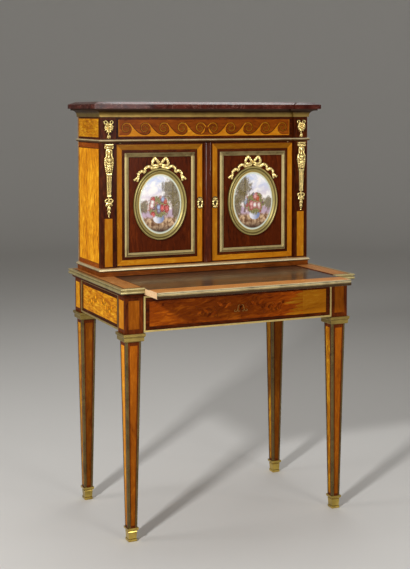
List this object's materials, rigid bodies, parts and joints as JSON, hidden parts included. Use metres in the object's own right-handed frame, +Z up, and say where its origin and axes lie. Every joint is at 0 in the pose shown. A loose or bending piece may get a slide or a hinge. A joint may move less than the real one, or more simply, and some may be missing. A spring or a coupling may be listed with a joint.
{
  "type": "writing desk",
  "caption": "Ladies' writing desk on tapered legs, with a marble-topped door cabinet above a pull-out leather writing slide and an apron drawer.",
  "frame": {"origin": "on the floor, in the middle of the area that the desk covers with its writing slide drawn out as at rest", "axes": "+Z up, +Y from the sitter towards the wall, +X to the sitter's right"},
  "size_m": [0.754, 0.57, 1.24],
  "materials": {
    "leg_wood": "satinwood veneer with dark banding, French polished",
    "apron_wood": "satinwood veneer with dark banding, French polished",
    "drawer_wood": "satinwood veneer with marquetry and dark banding, French polished",
    "cheek_wood": "satinwood veneer, French polished",
    "slide_wood": "solid wood with a satinwood border, polished",
    "side_wood": "satinwood veneer with dark banding, French polished",
    "pilaster_wood": "dark rosewood veneer with satinwood panels, polished",
    "frieze_wood": "satinwood veneer with a wave scroll in marquetry, polished",
    "door_wood": "mahogany field, rosewood and satinwood banding, polished",
    "dark_wood": "dark mahogany, polished",
    "inner_wood": "plain oak, waxed",
    "back_wood": "plain oak panel, unpolished",
    "edge_brass": "aged lacquered brass",
    "string_brass": "aged lacquered brass",
    "strip_brass": "dull aged brass",
    "lock_brass": "plain brass",
    "bronze": "gilt bronze, burnished on the edges",
    "gilt_bronze": "chased gilt bronze, matt ground with burnished highlights",
    "marble": "polished dark red marble",
    "leather": "dark brown tooled leather",
    "porcelain": "painted and glazed porcelain"
  },
  "bodies": {
    "desk": {"apron_back": "apron_wood", "apron_left": "apron_wood", "apron_right": "apron_wood", "apron_strings": "string_brass", "base_string": "string_brass", "cabinet_back": "back_wood", "cabinet_bottom": "inner_wood", "cabinet_plinth": "dark_wood", "cabinet_side_left": "side_wood", "cabinet_side_right": "side_wood", "cabinet_top": "inner_wood", "corner_mounts": "gilt_bronze", "cornice": "edge_brass", "drawer_runner_left": "inner_wood", "drawer_runner_right": "inner_wood", "frieze": "frieze_wood", "frieze_string": "string_brass", "front_lower_rail": "inner_wood", "front_upper_rail": "inner_wood", "leg_back_left": "leg_wood", "leg_back_right": "leg_wood", "leg_collars": "bronze", "leg_front_left": "leg_wood", "leg_front_right": "leg_wood", "leg_strips": "strip_brass", "marble_top": "marble", "pilaster_left": "pilaster_wood", "pilaster_right": "pilaster_wood", "sabot_back_left": "bronze", "sabot_back_right": "bronze", "sabot_front_left": "bronze", "sabot_front_right": "bronze", "shelf": "inner_wood", "top_back_rail": "inner_wood", "top_cheek_left": "cheek_wood", "top_cheek_right": "cheek_wood", "top_moulding": "edge_brass"},
    "left_door": {"door_left": "door_wood", "door_left_lock": "lock_brass", "door_left_moulding": "string_brass", "door_left_oval_frame": "gilt_bronze", "door_left_pivots": "lock_brass", "door_left_plaque": "porcelain"},
    "right_door": {"door_right": "door_wood", "door_right_lock": "lock_brass", "door_right_moulding": "string_brass", "door_right_oval_frame": "gilt_bronze", "door_right_pivots": "lock_brass", "door_right_plaque": "porcelain", "door_battement": "dark_wood"},
    "drawer": {"drawer_back": "inner_wood", "drawer_bottom": "inner_wood", "drawer_front": "drawer_wood", "drawer_lock": "lock_brass", "drawer_side_left": "inner_wood", "drawer_side_right": "inner_wood", "drawer_string": "string_brass"},
    "writing_slide": {"slide_board": "slide_wood", "slide_leather": "leather", "slide_moulding": "edge_brass"}
  },
  "joints": [
    {"name": "left_door_hinge", "type": "hinge", "parent": "desk", "child": "left_door", "pos_m": [-0.282, 0.067, 0.9], "axis": [0, 0, -1], "range_deg": [0, 105]},
    {"name": "right_door_hinge", "type": "hinge", "parent": "desk", "child": "right_door", "pos_m": [0.282, 0.067, 0.9], "axis": [0, 0, 1], "range_deg": [0, 105]},
    {"name": "drawer_slide", "type": "slide", "parent": "desk", "child": "drawer", "axis": [0, -1, 0], "range_m": [0, 0.26]},
    {"name": "writing_slide_run", "type": "slide", "parent": "desk", "child": "writing_slide", "axis": [0, -1, 0], "range_m": [-0.096, 0.094]}
  ]
}
